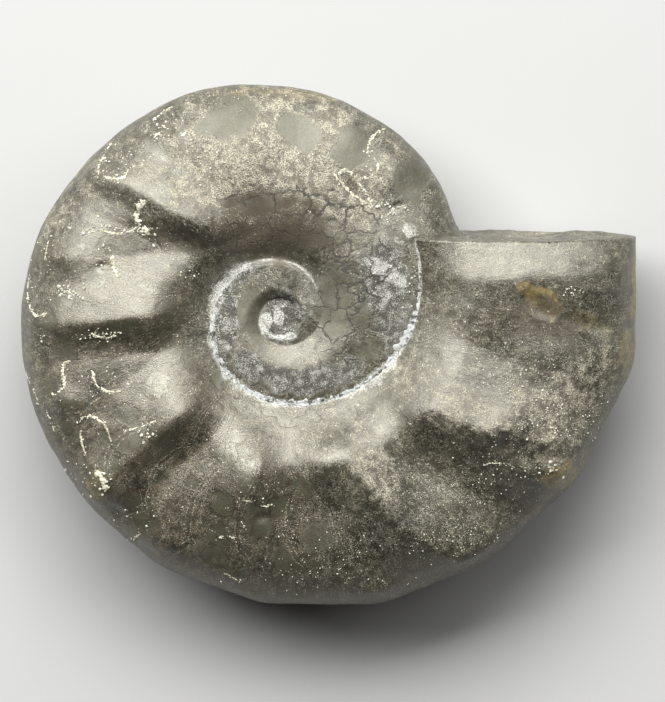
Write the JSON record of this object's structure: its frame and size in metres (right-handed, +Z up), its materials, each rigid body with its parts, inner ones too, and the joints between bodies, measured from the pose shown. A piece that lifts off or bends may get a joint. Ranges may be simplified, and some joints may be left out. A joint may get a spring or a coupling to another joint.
{
  "type": "ceratites compressus fossil",
  "caption": "Fossil ammonoid as a natural stone mould: a flat coiled disc with broad ribs, rim nodes and a straight break at the open end.",
  "frame": {"origin": "middle of the underside's bounding box, on the surface that the stone lies on", "axes": "+Z is up, square to the coil's plane; +X runs from the middle of the coil towards the open end's rim; +Y is the way the break faces"},
  "size_m": [0.0804, 0.0682, 0.0238],
  "materials": {
    "limestone": "satin"
  },
  "bodies": {
    "root": {"ammonite": "limestone"}
  },
  "joints": []
}
